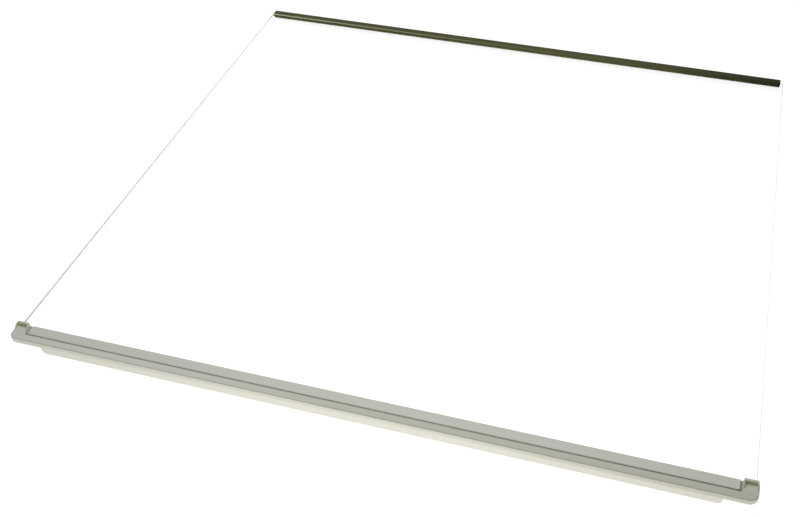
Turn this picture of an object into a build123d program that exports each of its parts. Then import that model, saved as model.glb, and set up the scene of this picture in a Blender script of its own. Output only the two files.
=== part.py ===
from build123d import *
import os

# Fridge glass shelf: a clear glass pane, a moulded trim along its front edge and a channel along its rear.
# Millimetres. +X to the right, +Y to the rear, +Z up. The origin is under the middle of the shelf, level
# with the foot of the front skirt. The shelf is level, as it lies on the side ledges of a cabinet.

# Glass pane
glass_width = 475.0
glass_depth = 461.0
glass_thickness = 3.2
glass_corner_radius = 2.0
glass_arris = 0.4  # ground bevel along every edge

# Room between the glass and both trims
face_clearance = 0.1  # over and under the glass
edge_clearance = 0.1  # around its edges

# Front trim: plan and section
end_wall = 1.3  # plastic past each side of the glass
nose_depth = 7.8  # from the front face back to the edge of the glass
nose_height = 4.5  # from the flat top down to the bottom of the front face
lip_grip = 5.85  # how far the upper lip reaches along the glass
lip_thickness = 1.5
front_corner_radius = 5.5
lower_edge_radius = 1.2  # along the bottom of the front face and round its corners
upper_edge_radius = 0.2  # along the other edges of the flat top
rebate_width = 0.4  # shadow line between the flat top and the front face
rebate_height = 0.45

# Front trim: groove in front of the upper lip, which turns to the rear at both ends of it
ledge_depth = 4.75  # flat top in front of the groove
groove_width = 1.0
groove_depth = 1.1
end_floor_length = 9.2  # flat top outside each end of the groove
end_groove_width = 1.0
lip_corner_radius = 1.0
lip_edge_radius = 0.7  # along the groove

# Front trim: stop wall at each end, with a gusset at both of its ends
stop_height = 2.85
stop_thickness = 1.7
stop_setback = 0.3  # from the rear edge of the trim
stop_margin = 0.1  # flat top between the wall and the rounded edges beside it
stop_corner_radius = 0.8
stop_edge_radius = 0.3
gusset_thickness = 0.8
gusset_length = 4.3  # along the flat top, from the wall
gusset_crest = 1.0  # level part of its top

# Front trim: lower lip with a seat under each end, and the skirt between the seats
lower_lip_thickness = 1.4
lower_lip_grip = 8.2  # how far the lower lip reaches along the glass
seat_length = 17.6
seat_drop = 0.3  # from the underside of the lower lip down to a seat
skirt_end_gap = 0.6  # from a seat to the end of the skirt
skirt_height = 11.4  # below the underside of the glass
skirt_thickness = 1.8
skirt_setback = 6.6  # from the front face
skirt_corner_radius = 3.0

# Rear trim
rear_lip_depth = 7.4  # outside, from the tip of the upper lip to the back
rear_lip_thickness = 2.4
rear_lip_bevel = 0.6  # along the top of that tip
rear_lower_lip_depth = 4.6
rear_wall = 1.4  # the back and the lower lip
rear_end_inset = 2.5  # from each side of the glass
rear_corner_radius = 0.6
rear_tip_radius = 0.3  # along the tip of the lower lip

# Heights
glass_bottom = skirt_height
glass_top = glass_bottom + glass_thickness
lip_bottom = glass_top + face_clearance
trim_top = lip_bottom + lip_thickness
nose_bottom = trim_top - nose_height
lower_lip_top = glass_bottom - face_clearance
lower_lip_bottom = lower_lip_top - lower_lip_thickness
seat_bottom = lower_lip_bottom - seat_drop
rebate_bottom = trim_top - rebate_height
stop_top = trim_top + stop_height
rear_top = lip_bottom + rear_lip_thickness
rear_bottom = lower_lip_top - rear_wall

# Depths
shelf_depth = nose_depth + edge_clearance + glass_depth + edge_clearance + rear_wall
front_face = -shelf_depth / 2
glass_stop = front_face + nose_depth
glass_front = glass_stop + edge_clearance
glass_rear = glass_front + glass_depth
rear_face = glass_rear + edge_clearance + rear_wall
trim_rear = glass_front + lip_grip
trim_depth = trim_rear - front_face
groove_front = front_face + rebate_width + ledge_depth
lip_front = groove_front + groove_width
stop_rear = trim_rear - stop_setback
stop_front = stop_rear - stop_thickness
gusset_front = stop_front - gusset_length
frame_depth = stop_rear - gusset_front
frame_middle = (gusset_front + stop_rear) / 2
skirt_front = front_face + skirt_setback
skirt_rear = skirt_front + skirt_thickness
lower_lip_rear = glass_front + lower_lip_grip
lower_lip_depth = lower_lip_rear - skirt_front
lower_lip_middle = (skirt_front + lower_lip_rear) / 2

# Widths, as half lengths from the middle
pocket_half = glass_width / 2 + edge_clearance
trim_half = pocket_half + end_wall
top_half = trim_half - rebate_width
groove_half = top_half - end_floor_length
lip_half = groove_half - end_groove_width
stop_outer_half = top_half - upper_edge_radius - stop_margin
stop_inner_half = groove_half + upper_edge_radius + stop_margin
stop_middle = (stop_inner_half + stop_outer_half) / 2
stop_length = stop_outer_half - stop_inner_half
floor_length = stop_length - 2 * gusset_thickness
seat_middle = trim_half - seat_length / 2
skirt_half = trim_half - seat_length - skirt_end_gap

# A cut runs this far past the face that it opens
cut_past = 1.0

# Glass pane: a plain sheet with eased corners and a ground bevel all round
with BuildPart() as glass_pane:
    with BuildSketch(Plane.XY.offset(glass_bottom)) as pane_plan:
        with Locations((0, (glass_front + glass_rear) / 2)):
            RectangleRounded(glass_width, glass_depth, glass_corner_radius)
    extrude(amount=glass_thickness)
    pane_faces = glass_pane.faces().filter_by(Axis.Z)
    chamfer(pane_faces.edges(), glass_arris)

# Front trim: one moulding
with BuildPart() as front_trim:
    # nose under the shadow line
    with BuildSketch(Plane.XY.offset(nose_bottom)) as nose_plan:
        with Locations((0, (front_face + trim_rear) / 2)):
            Rectangle(2 * trim_half, trim_depth)
        fillet(nose_plan.vertices().group_by(Axis.Y)[0], front_corner_radius)
    extrude(amount=rebate_bottom - nose_bottom)
    nose_edges = front_trim.faces().sort_by(Axis.Z)[0].edges()
    fillet(nose_edges.sort_by(Axis.Y)[:-1], lower_edge_radius)

    # flat top, set in from the front face and the ends by the shadow line
    with BuildSketch(Plane.XY.offset(rebate_bottom)) as top_plan:
        with Locations((0, (front_face + rebate_width + trim_rear) / 2)):
            Rectangle(2 * top_half, trim_depth - rebate_width)
        fillet(top_plan.vertices().group_by(Axis.Y)[0], front_corner_radius - rebate_width)
    extrude(amount=rebate_height)

    # block behind the nose, down to the lower lip: the pocket leaves its end walls
    with BuildSketch(Plane.XY.offset(lower_lip_bottom)):
        with Locations((0, (skirt_front + trim_rear) / 2)):
            Rectangle(2 * trim_half, trim_rear - skirt_front)
    extrude(amount=rebate_bottom - lower_lip_bottom)

    # lower lip over the whole length, with a seat under each end
    with BuildSketch(Plane.XY.offset(lower_lip_bottom)):
        with Locations((0, lower_lip_middle)):
            Rectangle(2 * trim_half, lower_lip_depth)
    extrude(amount=lower_lip_thickness)
    with BuildSketch(Plane.XY.offset(seat_bottom)):
        with Locations((-seat_middle, lower_lip_middle), (seat_middle, lower_lip_middle)):
            Rectangle(seat_length, lower_lip_depth)
    extrude(amount=lower_lip_top - seat_bottom)

    # skirt with rounded lower corners
    with BuildSketch(Plane.XZ.offset(-skirt_rear)) as skirt_front_view:
        with Locations((0, nose_bottom / 2)):
            Rectangle(2 * skirt_half, nose_bottom)
        fillet(skirt_front_view.vertices().group_by(Axis.Y)[0], skirt_corner_radius)
    extrude(amount=skirt_thickness)

    # pocket for the glass, open to the rear
    with BuildSketch(Plane.XY.offset(lip_bottom)):
        with Locations((0, (glass_stop + trim_rear + cut_past) / 2)):
            Rectangle(2 * pocket_half, trim_rear + cut_past - glass_stop)
    extrude(amount=-(lip_bottom - lower_lip_top), mode=Mode.SUBTRACT)

    # groove along the front and both ends of the upper lip, open to the rear
    with BuildSketch(Plane.XY.offset(trim_top)) as groove_plan:
        with Locations((0, (groove_front + trim_rear + cut_past) / 2)):
            Rectangle(2 * groove_half, trim_rear + cut_past - groove_front)
        with Locations((0, (lip_front + trim_rear + cut_past) / 2)):
            Rectangle(2 * lip_half, trim_rear + cut_past - lip_front, mode=Mode.SUBTRACT)
        fillet(groove_plan.vertices().group_by(Axis.Y)[1], lip_corner_radius)
    extrude(amount=-groove_depth, mode=Mode.SUBTRACT)
    lip_top = front_trim.faces().group_by(Axis.Z)[-1].sort_by(Axis.Y)[-1]
    fillet(lip_top.edges().sort_by(Axis.Y)[:-1], lip_edge_radius)
    flat_top = front_trim.faces().group_by(Axis.Z)[-1].sort_by(Axis.Y)[0]
    fillet(flat_top.edges(), upper_edge_radius)

    # stop wall at both ends, with two gussets that slope down to the flat top
    with BuildSketch(Plane.XY.offset(rebate_bottom)) as stop_plan:
        with Locations((-stop_middle, frame_middle), (stop_middle, frame_middle)):
            Rectangle(stop_length, frame_depth)
        with Locations((-stop_middle, stop_front), (stop_middle, stop_front)):
            Rectangle(floor_length, gusset_length, align=(Align.CENTER, Align.MAX), mode=Mode.SUBTRACT)
        fillet(stop_plan.vertices().group_by(Axis.Y)[-1], stop_corner_radius)
    extrude(amount=stop_top - rebate_bottom)
    with BuildSketch(Plane.YZ):
        with BuildLine():
            Polyline(
                (stop_front - gusset_crest, stop_top),
                (gusset_front, trim_top),
                (gusset_front - cut_past, trim_top),
                (gusset_front - cut_past, stop_top),
                close=True,
            )
        make_face()
    extrude(amount=trim_half, both=True, mode=Mode.SUBTRACT)
    fillet(front_trim.faces().group_by(Axis.Z)[-1].edges(), stop_edge_radius)

# Rear trim: a channel over the rear edge of the glass, with a longer lip above than below
with BuildPart() as rear_trim:
    with BuildSketch(Plane.YZ) as channel:
        with Locations((rear_face, rear_top)):
            Rectangle(rear_lip_depth, rear_lip_thickness, align=Align.MAX)
            Rectangle(rear_wall, rear_top - rear_bottom, align=Align.MAX)
        with Locations((rear_face, rear_bottom)):
            Rectangle(rear_lower_lip_depth, rear_wall, align=(Align.MAX, Align.MIN))
        fillet(channel.vertices().group_by(Axis.X)[-1], rear_corner_radius)
        fillet(channel.vertices().group_by(Axis.X)[1], rear_tip_radius)
        chamfer(channel.vertices().group_by(Axis.X)[0].sort_by(Axis.Y)[-1], rear_lip_bevel)
    extrude(amount=glass_width / 2 - rear_end_inset, both=True)

os.makedirs("parts", exist_ok=True)
glass_pane.part.label = "glass_pane"
front_trim.part.label = "front_trim"
rear_trim.part.label = "rear_trim"
export_step(glass_pane.part, "parts/glass_pane.step")
export_step(front_trim.part, "parts/front_trim.step")
export_step(rear_trim.part, "parts/rear_trim.step")
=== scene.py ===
import math
import bmesh
import bpy
from mathutils import Matrix, Vector


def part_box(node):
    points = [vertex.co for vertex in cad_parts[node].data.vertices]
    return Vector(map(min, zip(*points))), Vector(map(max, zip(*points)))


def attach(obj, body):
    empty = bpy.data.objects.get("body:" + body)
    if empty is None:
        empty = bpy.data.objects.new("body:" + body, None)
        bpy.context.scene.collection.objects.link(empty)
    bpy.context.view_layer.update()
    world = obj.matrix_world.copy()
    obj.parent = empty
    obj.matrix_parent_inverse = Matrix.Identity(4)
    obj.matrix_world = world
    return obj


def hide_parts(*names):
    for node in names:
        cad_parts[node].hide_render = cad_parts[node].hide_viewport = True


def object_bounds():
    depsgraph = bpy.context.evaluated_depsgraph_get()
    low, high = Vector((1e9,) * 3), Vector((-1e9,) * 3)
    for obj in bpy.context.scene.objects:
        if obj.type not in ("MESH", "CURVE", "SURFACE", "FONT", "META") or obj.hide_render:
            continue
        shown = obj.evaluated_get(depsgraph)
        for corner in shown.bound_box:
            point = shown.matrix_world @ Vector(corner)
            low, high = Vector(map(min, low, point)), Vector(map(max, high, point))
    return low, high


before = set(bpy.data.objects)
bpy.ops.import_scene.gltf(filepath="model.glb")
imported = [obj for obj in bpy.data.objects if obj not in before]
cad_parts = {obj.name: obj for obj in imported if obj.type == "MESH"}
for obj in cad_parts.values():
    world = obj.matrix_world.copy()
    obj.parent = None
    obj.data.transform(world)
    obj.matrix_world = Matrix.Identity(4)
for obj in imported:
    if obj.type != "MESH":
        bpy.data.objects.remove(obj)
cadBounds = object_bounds()
print("frame:", ", ".join(sorted(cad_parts)))

mm = 0.001
noiseSpread = (0.3, 0.7)  # most of a noise lies between these two


def linear(hexColour):
    # sRGB hex to the linear colour that the sockets take
    parts = [int(hexColour[i:i + 2], 16) / 255 for i in (1, 3, 5)]
    curve = [c / 12.92 if c <= 0.04045 else ((c + 0.055) / 1.055) ** 2.4 for c in parts]
    return (*curve, 1.0)


def newMaterial(name):
    material = bpy.data.materials.new(name)
    material.use_nodes = True
    material.node_tree.nodes.clear()
    return material, material.node_tree


def addNode(tree, kind, inputs=None, **settings):
    # a socket in inputs is linked, anything else is set
    node = tree.nodes.new(kind)
    for name, value in settings.items():
        setattr(node, name, value)
    for name, value in (inputs or {}).items():
        if isinstance(value, bpy.types.NodeSocket):
            tree.links.new(value, node.inputs[name])
        else:
            node.inputs[name].default_value = value
    return node


def graded(tree, *limits):
    # a limit is a socket, two of its values and the strength at both, 0 and 1 if not given: it stays level
    # outside them, and the limits are multiplied
    strength = 1.0
    for socket, start, end, *ends in limits:
        low, high = ends or (0.0, 1.0)
        limit = addNode(tree, "ShaderNodeMapRange", {
            "Value": socket, "From Min": start, "From Max": end, "To Min": low, "To Max": high,
        })
        product = addNode(tree, "ShaderNodeMath", {
            0: limit.outputs["Result"], 1: strength,
        }, operation="MULTIPLY")
        strength = product.outputs[0]
    return strength


def layered(tree, base, *coats):
    # a coat is a colour and how strongly it covers what lies under it
    colour = linear(base)
    for coat, strength in coats:
        mix = addNode(tree, "ShaderNodeMix", {
            "Factor": strength, "A": colour, "B": linear(coat),
        }, data_type="RGBA")
        colour = mix.outputs["Result"]
    return colour


# front trim: high-impact polystyrene, injection moulded in a satin mould. It is warm light grey, with a broad
# soft sheen, faint flow marks along the length and a very fine grain. Painted shade makes the ledge greyer
# from the middle to the right and the front face greyer towards both ends, and darkens the groove, most of
# all at its ends. A painted brown shade lies on the front of the stop walls
styrene = {
    "colour": "#dedccf",
    "flowColour": "#d8d6c8",  # where the melt front left it a little duller
    "flowLength": 90 * mm,
    "flowWidth": 5 * mm,
    "flowDetail": 4.0,
    "flowRoughness": 0.6,
    "roughness": (0.42, 0.54),
    "ior": 1.55,
    "grain": 0.9 * mm,  # the real grain is about 0.1 mm, drawn coarser so that it shows
    "grainDetail": 2.0,
    "grainHeight": 0.01 * mm,
    "grainStrength": 0.6,
    "markEdge": 0.05 * mm,  # how sharply a mark ends
    "topHeight": 15.9 * mm,  # from the foot of the skirt, just under the flat top
    "ledgeDepth": 5.1 * mm,  # from the front face back to the groove
    "blockLength": 9.5 * mm,  # from each end of the trim in to the groove
    # painted shade: the ledge greyer from the middle to the right, the front face greyer towards both ends
    "trimShadeColour": "#cbc9b7",
    "trimShadeTop": (-150 * mm, 20 * mm),  # along the ledge, where it starts and where it is full
    "trimShadeFace": (60 * mm, 160 * mm),  # on the front face, the same from the middle out
    "trimShadeSides": (0.2, 0.75),  # and how strong at the left and the right end
    "trimShadeFade": 8 * mm,  # behind the ledge, on the end blocks
    # painted shade in the groove, darkest at its ends
    "grooveShadeColour": "#87866c",
    "grooveShadeFront": (60 * mm, 222 * mm, 0.06, 0.3),  # along the groove, and how strong at both
    "grooveShadeEnds": (225 * mm, 228.5 * mm),  # from the middle out, where it starts and where it is full
    "grooveShadeSides": (0.5, 1.0),  # how strong at the left and the right end
    "grooveShadeHeights": (15.0 * mm, 15.5 * mm, 16.15 * mm),  # under the groove's floor, full up to, none from
    "grooveShadeDepth": 13.7 * mm,  # from the front face back to the open ends of the groove
    # painted brown shade on the front of the stop walls
    "wallShadeColour": "#e0d7b6",
    "wallShadeDepths": (11.5 * mm, 11.8 * mm),  # from the front face, around the front of the stop walls
}


def paintedShades(tree, place):
    # the coats of painted shade on the trim, from the lowest up
    low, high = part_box("front_trim")
    axes = addNode(tree, "ShaderNodeSeparateXYZ", {"Vector": place.outputs["Object"]})
    x, y, z = (axes.outputs[name] for name in "XYZ")
    out = addNode(tree, "ShaderNodeMath", {0: x}, operation="ABSOLUTE").outputs[0]
    edge = styrene["markEdge"]
    top = styrene["topHeight"]
    ledge = low.y + styrene["ledgeDepth"]
    block = high.x - styrene["blockLength"]

    # painted shade on the ledge and on the front face
    fade = graded(tree, (out, block, block + edge, ledge + edge, ledge + styrene["trimShadeFade"]))
    inFront = (y, ledge, fade, 1.0, 0.0)
    onTop = graded(tree, inFront, (z, top, top + edge), (x, *styrene["trimShadeTop"]))
    onFace = graded(
        tree,
        inFront,
        (z, top, top + edge, 1.0, 0.0),
        (out, *styrene["trimShadeFace"]),
        (x, low.x, high.x, *styrene["trimShadeSides"]),
    )
    trimShade = addNode(tree, "ShaderNodeMath", {0: onTop, 1: onFace}, operation="MAXIMUM")

    # painted brown shade on the front of the stop walls
    wallShadeFront, wallShadeRear = (low.y + depth for depth in styrene["wallShadeDepths"])
    wallShade = graded(
        tree,
        (z, top, top + edge),
        (out, block, block + edge),
        (y, wallShadeFront - edge, wallShadeFront),
        (y, wallShadeRear, wallShadeRear + edge, 1.0, 0.0),
    )

    # painted shade in the groove, most of all at its ends
    rear = low.y + styrene["grooveShadeDepth"]
    floor, full, none = styrene["grooveShadeHeights"]
    inGroove = (
        (out, block, block + edge, 1.0, 0.0),
        (y, ledge, ledge + edge),
        (y, rear - edge, rear, 1.0, 0.0),
        (z, floor - edge, floor),
        (z, full, none, 1.0, 0.0),
    )
    along = graded(tree, (x, *styrene["grooveShadeFront"]), *inGroove)
    atEnds = graded(
        tree,
        (out, *styrene["grooveShadeEnds"]),
        (x, low.x, high.x, *styrene["grooveShadeSides"]),
        *inGroove,
    )
    grooveShade = addNode(tree, "ShaderNodeMath", {0: along, 1: atEnds}, operation="MAXIMUM")
    return (
        (styrene["trimShadeColour"], trimShade.outputs[0]),
        (styrene["wallShadeColour"], wallShade),
        (styrene["grooveShadeColour"], grooveShade.outputs[0]),
    )


def mouldedStyrene():
    material, tree = newMaterial("mouldedStyrene")
    place = addNode(tree, "ShaderNodeTexCoord")
    stretch = addNode(tree, "ShaderNodeMapping", {
        "Vector": place.outputs["Object"],
        "Scale": (1 / styrene["flowLength"], 1 / styrene["flowWidth"], 1 / styrene["flowWidth"]),
    })
    flow = addNode(tree, "ShaderNodeTexNoise", {
        "Vector": stretch.outputs["Vector"],
        "Scale": 1.0,
        "Detail": styrene["flowDetail"],
        "Roughness": styrene["flowRoughness"],
    })
    flowCoat = (styrene["flowColour"], flow.outputs["Fac"])
    grain = addNode(tree, "ShaderNodeTexNoise", {
        "Vector": place.outputs["Object"],
        "Scale": 1 / styrene["grain"],
        "Detail": styrene["grainDetail"],
    })
    bump = addNode(tree, "ShaderNodeBump", {
        "Height": grain.outputs["Fac"],
        "Distance": styrene["grainHeight"],
        "Strength": styrene["grainStrength"],
    })
    shader = addNode(tree, "ShaderNodeBsdfPrincipled", {
        "Base Color": layered(tree, styrene["colour"], flowCoat, *paintedShades(tree, place)),
        "Roughness": graded(tree, (flow.outputs["Fac"], *noiseSpread, *styrene["roughness"])),
        "IOR": styrene["ior"],
        "Normal": bump.outputs["Normal"],
    })
    addNode(tree, "ShaderNodeOutputMaterial", {"Surface": shader.outputs["BSDF"]})
    return material


# rear trim: rigid PVC, extruded. It is dark olive brown and almost matt, with fine die lines along its
# length.
# Painted shade darkens it towards the right end, and a painted highlight lies along the bevel of its front
# edge at the left
vinyl = {
    "colour": "#1c1e08",
    "lineColour": "#2a2b14",
    "lineSpacing": 0.9 * mm,  # the real die lines are finer, drawn coarser so that they show
    "lineLength": 160 * mm,
    "lineDetail": 3.0,
    "lineRoughness": 0.55,
    "lineDepth": 0.01 * mm,
    "lineStrength": 0.7,
    "roughness": (0.5, 0.62),
    "specular": 0.08,
    "ior": 1.53,
    # the trim's olive tone, with painted shade that darkens it towards the right end
    "toneAndShadeColour": "#5a5a36",
    "toneAndShadeUpTo": 110 * mm,  # full from the left end to here, none at the right end
    "toneAndShadeShare": 0.9,  # the die lines show through the rest
    # painted highlight along the bevel of the front edge, fading from the left end
    "highlightColour": "#d8d2bb",
    "highlightDepth": 0.6 * mm,  # the bevel, from the front edge back and from the top down
    "highlightFade": 0.15 * mm,
    "highlightPower": 3.0,  # how fast it dies away from the left end
}


def extrudedVinyl():
    material, tree = newMaterial("extrudedVinyl")
    low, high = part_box("rear_trim")
    place = addNode(tree, "ShaderNodeTexCoord")
    axes = addNode(tree, "ShaderNodeSeparateXYZ", {"Vector": place.outputs["Object"]})
    x, y, z = (axes.outputs[name] for name in "XYZ")
    stretch = addNode(tree, "ShaderNodeMapping", {
        "Vector": place.outputs["Object"],
        "Scale": (1 / vinyl["lineLength"], 1 / vinyl["lineSpacing"], 1 / vinyl["lineSpacing"]),
    })
    lines = addNode(tree, "ShaderNodeTexNoise", {
        "Vector": stretch.outputs["Vector"],
        "Scale": 1.0,
        "Detail": vinyl["lineDetail"],
        "Roughness": vinyl["lineRoughness"],
    })
    # olive tone, with painted shade towards the right end
    toneAndShade = graded(tree, (x, vinyl["toneAndShadeUpTo"], high.x, vinyl["toneAndShadeShare"], 0.0))
    # painted highlight along the bevel, dying away from the left end
    along = addNode(tree, "ShaderNodeMath", {
        0: graded(tree, (x, low.x, high.x, 1.0, 0.0)), 1: vinyl["highlightPower"],
    }, operation="POWER")
    front = low.y + vinyl["highlightDepth"]
    upper = high.z - vinyl["highlightDepth"]
    highlight = graded(
        tree,
        (along.outputs[0], 0.0, 1.0),
        (y, front, front + vinyl["highlightFade"], 1.0, 0.0),
        (z, upper - vinyl["highlightFade"], upper),
    )
    colour = layered(
        tree,
        vinyl["colour"],
        (vinyl["lineColour"], lines.outputs["Fac"]),
        (vinyl["toneAndShadeColour"], toneAndShade),
        (vinyl["highlightColour"], highlight),
    )
    bump = addNode(tree, "ShaderNodeBump", {
        "Height": lines.outputs["Fac"],
        "Distance": vinyl["lineDepth"],
        "Strength": vinyl["lineStrength"],
    })
    shader = addNode(tree, "ShaderNodeBsdfPrincipled", {
        "Base Color": colour,
        "Roughness": graded(tree, (lines.outputs["Fac"], *noiseSpread, *vinyl["roughness"])),
        "IOR": vinyl["ior"],
        "Specular IOR Level": vinyl["specular"],
        "Normal": bump.outputs["Normal"],
    })
    addNode(tree, "ShaderNodeOutputMaterial", {"Surface": shader.outputs["BSDF"]})
    return material


# glass pane: toughened float glass, clear, with polished faces that mirror a little. Its ground edges are
# grey, with painted light that makes them paler towards the rear and white at the right. The sheet is made
# with eased corners and a ground arris, so that its faces and edges take two finishes
glass = {
    "cornerRadius": 2.0 * mm,
    "cornerSteps": 8,
    "arris": 0.4 * mm,
    "level": 0.1 * mm,  # an edge that rises less than this runs along a face
    "polished": 0.99,  # a face whose normal is this upright is polished
    "tint": "#fdfefd",
    "ior": 1.52,
    "edgeTint": "#b2b1a9",
    # painted light on the ground edges: paler towards the rear and white at the right
    "edgeLightTint": "#ffffff",
    "edgeLightRear": 0.45,  # how pale the left edge is at the rear
    "edgeRoughness": 0.6,
    "grit": 0.5 * mm,  # grinding marks are about 0.05 mm, drawn coarser so that they show
    "gritDetail": 3.0,
    "gritDepth": 0.01 * mm,
    "gritStrength": 0.5,
}


def floatGlass():
    material, tree = newMaterial("floatGlass")
    polished = addNode(tree, "ShaderNodeBsdfPrincipled", {
        "Base Color": linear(glass["tint"]),
        "Roughness": 0.0,
        "IOR": glass["ior"],
        "Transmission Weight": 1.0,
    })
    # lamps shine through the pane
    rays = addNode(tree, "ShaderNodeLightPath")
    clear = addNode(tree, "ShaderNodeBsdfTransparent", {"Color": linear(glass["tint"])})
    both = addNode(tree, "ShaderNodeMixShader", {
        0: rays.outputs["Is Shadow Ray"], 1: polished.outputs["BSDF"], 2: clear.outputs["BSDF"],
    })
    addNode(tree, "ShaderNodeOutputMaterial", {"Surface": both.outputs["Shader"]})
    return material


def groundGlassEdge():
    material, tree = newMaterial("groundGlassEdge")
    low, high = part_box("glass_pane")
    place = addNode(tree, "ShaderNodeTexCoord")
    axes = addNode(tree, "ShaderNodeSeparateXYZ", {"Vector": place.outputs["Object"]})
    # painted light: paler towards the rear and white at the right
    edgeLight = addNode(tree, "ShaderNodeMath", {
        0: graded(tree, (axes.outputs["X"], low.x, high.x)),
        1: graded(tree, (axes.outputs["Y"], low.y, high.y, 0.0, glass["edgeLightRear"])),
    }, operation="MAXIMUM")
    grit = addNode(tree, "ShaderNodeTexNoise", {
        "Vector": place.outputs["Object"], "Scale": 1 / glass["grit"], "Detail": glass["gritDetail"],
    })
    bump = addNode(tree, "ShaderNodeBump", {
        "Height": grit.outputs["Fac"],
        "Distance": glass["gritDepth"],
        "Strength": glass["gritStrength"],
    })
    shader = addNode(tree, "ShaderNodeBsdfPrincipled", {
        "Base Color": layered(tree, glass["edgeTint"], (glass["edgeLightTint"], edgeLight.outputs[0])),
        "Roughness": glass["edgeRoughness"],
        "IOR": glass["ior"],
        "Normal": bump.outputs["Normal"],
    })
    addNode(tree, "ShaderNodeOutputMaterial", {"Surface": shader.outputs["BSDF"]})
    return material


def rise(edge):
    return abs(edge.verts[0].co.z - edge.verts[1].co.z)


def glassPane():
    low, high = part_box("glass_pane")
    bm = bmesh.new()
    bmesh.ops.create_cube(bm, size=1.0)
    bmesh.ops.scale(bm, vec=high - low, verts=bm.verts)
    bmesh.ops.translate(bm, vec=(low + high) / 2, verts=bm.verts)
    uprights = [edge for edge in bm.edges if rise(edge) > glass["level"]]
    bmesh.ops.bevel(bm, geom=uprights, offset=glass["cornerRadius"], segments=glass["cornerSteps"],
                    profile=0.5, affect="EDGES", material=-1)
    rims = [edge for edge in bm.edges if rise(edge) < glass["level"]]
    bmesh.ops.bevel(bm, geom=rims, offset=glass["arris"], segments=1,
                    profile=0.5, affect="EDGES", material=-1)
    bm.normal_update()
    for face in bm.faces:
        face.material_index = 0 if abs(face.normal.z) > glass["polished"] else 1
    mesh = bpy.data.meshes.new("glassPane")
    bm.to_mesh(mesh)
    bm.free()
    piece = bpy.data.objects.new("glassPane", mesh)
    bpy.context.scene.collection.objects.link(piece)
    mesh.materials.append(floatGlass())
    mesh.materials.append(groundGlassEdge())
    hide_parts("glass_pane")
    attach(piece, "root")


def dress(node, material):
    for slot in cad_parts[node].material_slots:
        slot.material = material


glassPane()
dress("front_trim", mouldedStyrene())
dress("rear_trim", extrudedVinyl())
print("pieces: glass pane, front trim, rear trim")

# stage: a white table under one broad soft lamp, which hangs behind the front trim, so that the table lights
# the front faces from below and the faces that look forward over the trim stay dim
stage = {
    "colour": "#ffffff",  # the table and the sky, as they are seen
    "tableHalf": 4.0,  # metres
    "tableShadow": 0.1,  # how much of the white the object's shadow can take away
    "tableLit": 0.5,  # about how bright the lamp makes a white table
    "glow": 2.0,  # the table's light on the object, in the middle of the lamp's pool of light
    "glowMiddle": (25 * mm, -100 * mm, 0),
    "glowReach": 640 * mm,
    "glowPower": -2.0,  # how fast it falls with distance
    "shade": 0.4,  # how much less of the glow there is behind the skirt
    "shadeEdge": 0.1 * mm,
    "skirtMiddle": 7.5 * mm,  # from the front face back
    "skyColour": "#f2f6ff",
    "skyStrength": 0.1,
}
softbox = {
    "place": (-25 * mm, -60 * mm, 640 * mm),
    "aim": (-15 * mm, -120 * mm, 0),
    "side": 520 * mm,
    "watts": 2.9,
    "colour": "#f8feff",
}


def seenRays(tree):
    # 1 for the rays that show the stage itself: straight, mirrored or through the glass
    rays = addNode(tree, "ShaderNodeLightPath")
    seen = rays.outputs["Is Camera Ray"]
    for name in ("Is Glossy Ray", "Is Transmission Ray"):
        either = addNode(tree, "ShaderNodeMath", {0: seen, 1: rays.outputs[name]}, operation="MAXIMUM")
        seen = either.outputs[0]
    return seen


def behindSkirt(tree, place):
    # 1 on the table behind the middle of the skirt, between the sides of the shelf
    low, high = cadBounds
    axes = addNode(tree, "ShaderNodeSeparateXYZ", {"Vector": place.outputs["Object"]})
    out = addNode(tree, "ShaderNodeMath", {0: axes.outputs["X"]}, operation="ABSOLUTE")
    front = low.y + stage["skirtMiddle"]
    return graded(
        tree,
        (out.outputs[0], high.x - stage["shadeEdge"], high.x, 1.0, 0.0),
        (axes.outputs["Y"], front, front + stage["shadeEdge"]),
    )


def paleTable():
    material, tree = newMaterial("paleTable")
    # the lamp's pool of light: 1 in the middle, less with distance
    place = addNode(tree, "ShaderNodeTexCoord")
    away = addNode(tree, "ShaderNodeVectorMath", {
        0: place.outputs["Object"], 1: stage["glowMiddle"],
    }, operation="DISTANCE")
    reach = addNode(tree, "ShaderNodeMath", {
        0: away.outputs["Value"], 1: stage["glowReach"],
    }, operation="DIVIDE")
    square = addNode(tree, "ShaderNodeMath", {
        0: reach.outputs[0], 1: reach.outputs[0], 2: 1.0,
    }, operation="MULTIPLY_ADD")
    pool = addNode(tree, "ShaderNodeMath", {
        0: square.outputs[0], 1: stage["glowPower"],
    }, operation="POWER")
    glow = addNode(tree, "ShaderNodeEmission", {
        "Color": linear(stage["colour"]),
        "Strength": graded(
            tree,
            (pool.outputs[0], 0.0, 1.0, 0.0, stage["glow"]),
            (behindSkirt(tree, place), 0.0, 1.0, 1.0, 1.0 - stage["shade"]),
        ),
    })
    # what is seen is white: the lamp's light adds what the emission lacks, except in the shadow
    white = addNode(tree, "ShaderNodeEmission", {
        "Color": linear(stage["colour"]),
        "Strength": graded(tree, (pool.outputs[0], 0.0, 1.0, 1.0, 1.0 - stage["tableShadow"])),
    })
    light = addNode(tree, "ShaderNodeMixShader", {
        0: seenRays(tree), 1: glow.outputs[0], 2: white.outputs[0],
    })
    grey = stage["tableShadow"] / stage["tableLit"]
    shadow = addNode(tree, "ShaderNodeBsdfDiffuse", {"Color": (grey, grey, grey, 1.0)})
    both = addNode(tree, "ShaderNodeAddShader", {0: light.outputs[0], 1: shadow.outputs[0]})
    addNode(tree, "ShaderNodeOutputMaterial", {"Surface": both.outputs[0]})
    return material


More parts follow.
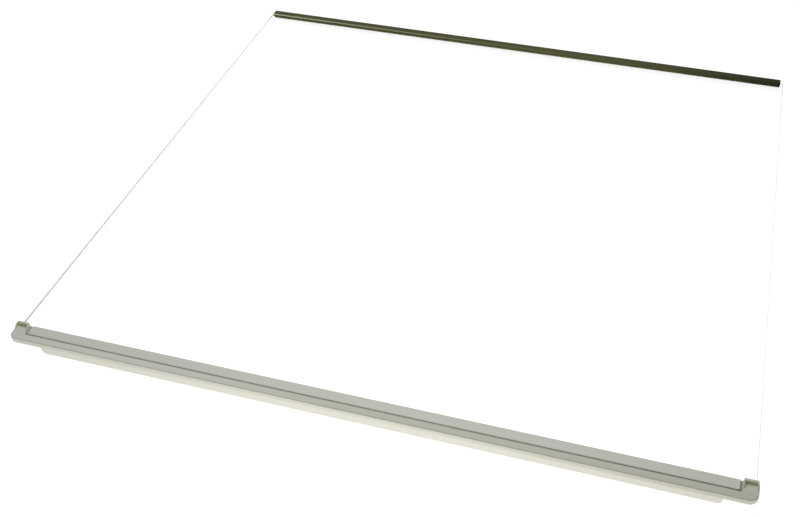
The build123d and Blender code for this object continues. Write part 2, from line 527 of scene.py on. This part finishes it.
def table():
    bm = bmesh.new()
    bmesh.ops.create_grid(bm, x_segments=1, y_segments=1, size=stage["tableHalf"])
    mesh = bpy.data.meshes.new("paleTable")
    bm.to_mesh(mesh)
    bm.free()
    piece = bpy.data.objects.new("paleTable", mesh)
    bpy.context.scene.collection.objects.link(piece)
    mesh.materials.append(paleTable())


def softSky():
    world = bpy.data.worlds.new("softSky")
    world.use_nodes = True
    tree = world.node_tree
    tree.nodes.clear()
    white = addNode(tree, "ShaderNodeBackground", {"Color": linear(stage["colour"]), "Strength": 1.0})
    sky = addNode(tree, "ShaderNodeBackground", {
        "Color": linear(stage["skyColour"]), "Strength": stage["skyStrength"],
    })
    both = addNode(tree, "ShaderNodeMixShader", {
        0: seenRays(tree), 1: sky.outputs[0], 2: white.outputs[0],
    })
    addNode(tree, "ShaderNodeOutputWorld", {"Surface": both.outputs[0]})
    bpy.context.scene.world = world


def facing(place, aim):
    look = (Vector(aim) - Vector(place)).to_track_quat("-Z", "Y")
    return Matrix.Translation(place) @ look.to_matrix().to_4x4()


def hangLamp():
    light = bpy.data.lights.new("softbox", "AREA")
    light.shape = "SQUARE"
    light.size = softbox["side"]
    light.energy = softbox["watts"]
    light.color = linear(softbox["colour"])[:3]
    lamp = bpy.data.objects.new("softbox", light)
    bpy.context.scene.collection.objects.link(lamp)
    lamp.matrix_world = facing(softbox["place"], softbox["aim"])


table()
softSky()
hangLamp()
print("stage: table, sky and softbox")

# camera: the photograph's view, from the front and a little to the right
view = {
    "eye": (160.22 * mm, -662.71 * mm, 520.71 * mm),
    "target": (-14.6 * mm, -87.3 * mm, 16.0 * mm),
    "roll": -0.51,  # degrees
    "lens": 49.92,  # in millimetres, as the sensor is
    "sensor": 36.0,
    "clip": (0.01, 50.0),  # metres
}


def photoCamera():
    camera = bpy.data.objects.new("photoCamera", bpy.data.cameras.new("photoCamera"))
    bpy.context.scene.collection.objects.link(camera)
    turn = Matrix.Rotation(math.radians(view["roll"]), 4, "Z")
    camera.matrix_world = facing(view["eye"], view["target"]) @ turn
    camera.data.lens = view["lens"]
    camera.data.sensor_width = view["sensor"]
    camera.data.clip_start, camera.data.clip_end = view["clip"]
    bpy.context.scene.camera = camera


photoCamera()
bpy.context.scene.view_settings.view_transform = "Standard"
print("camera: lens", view["lens"])
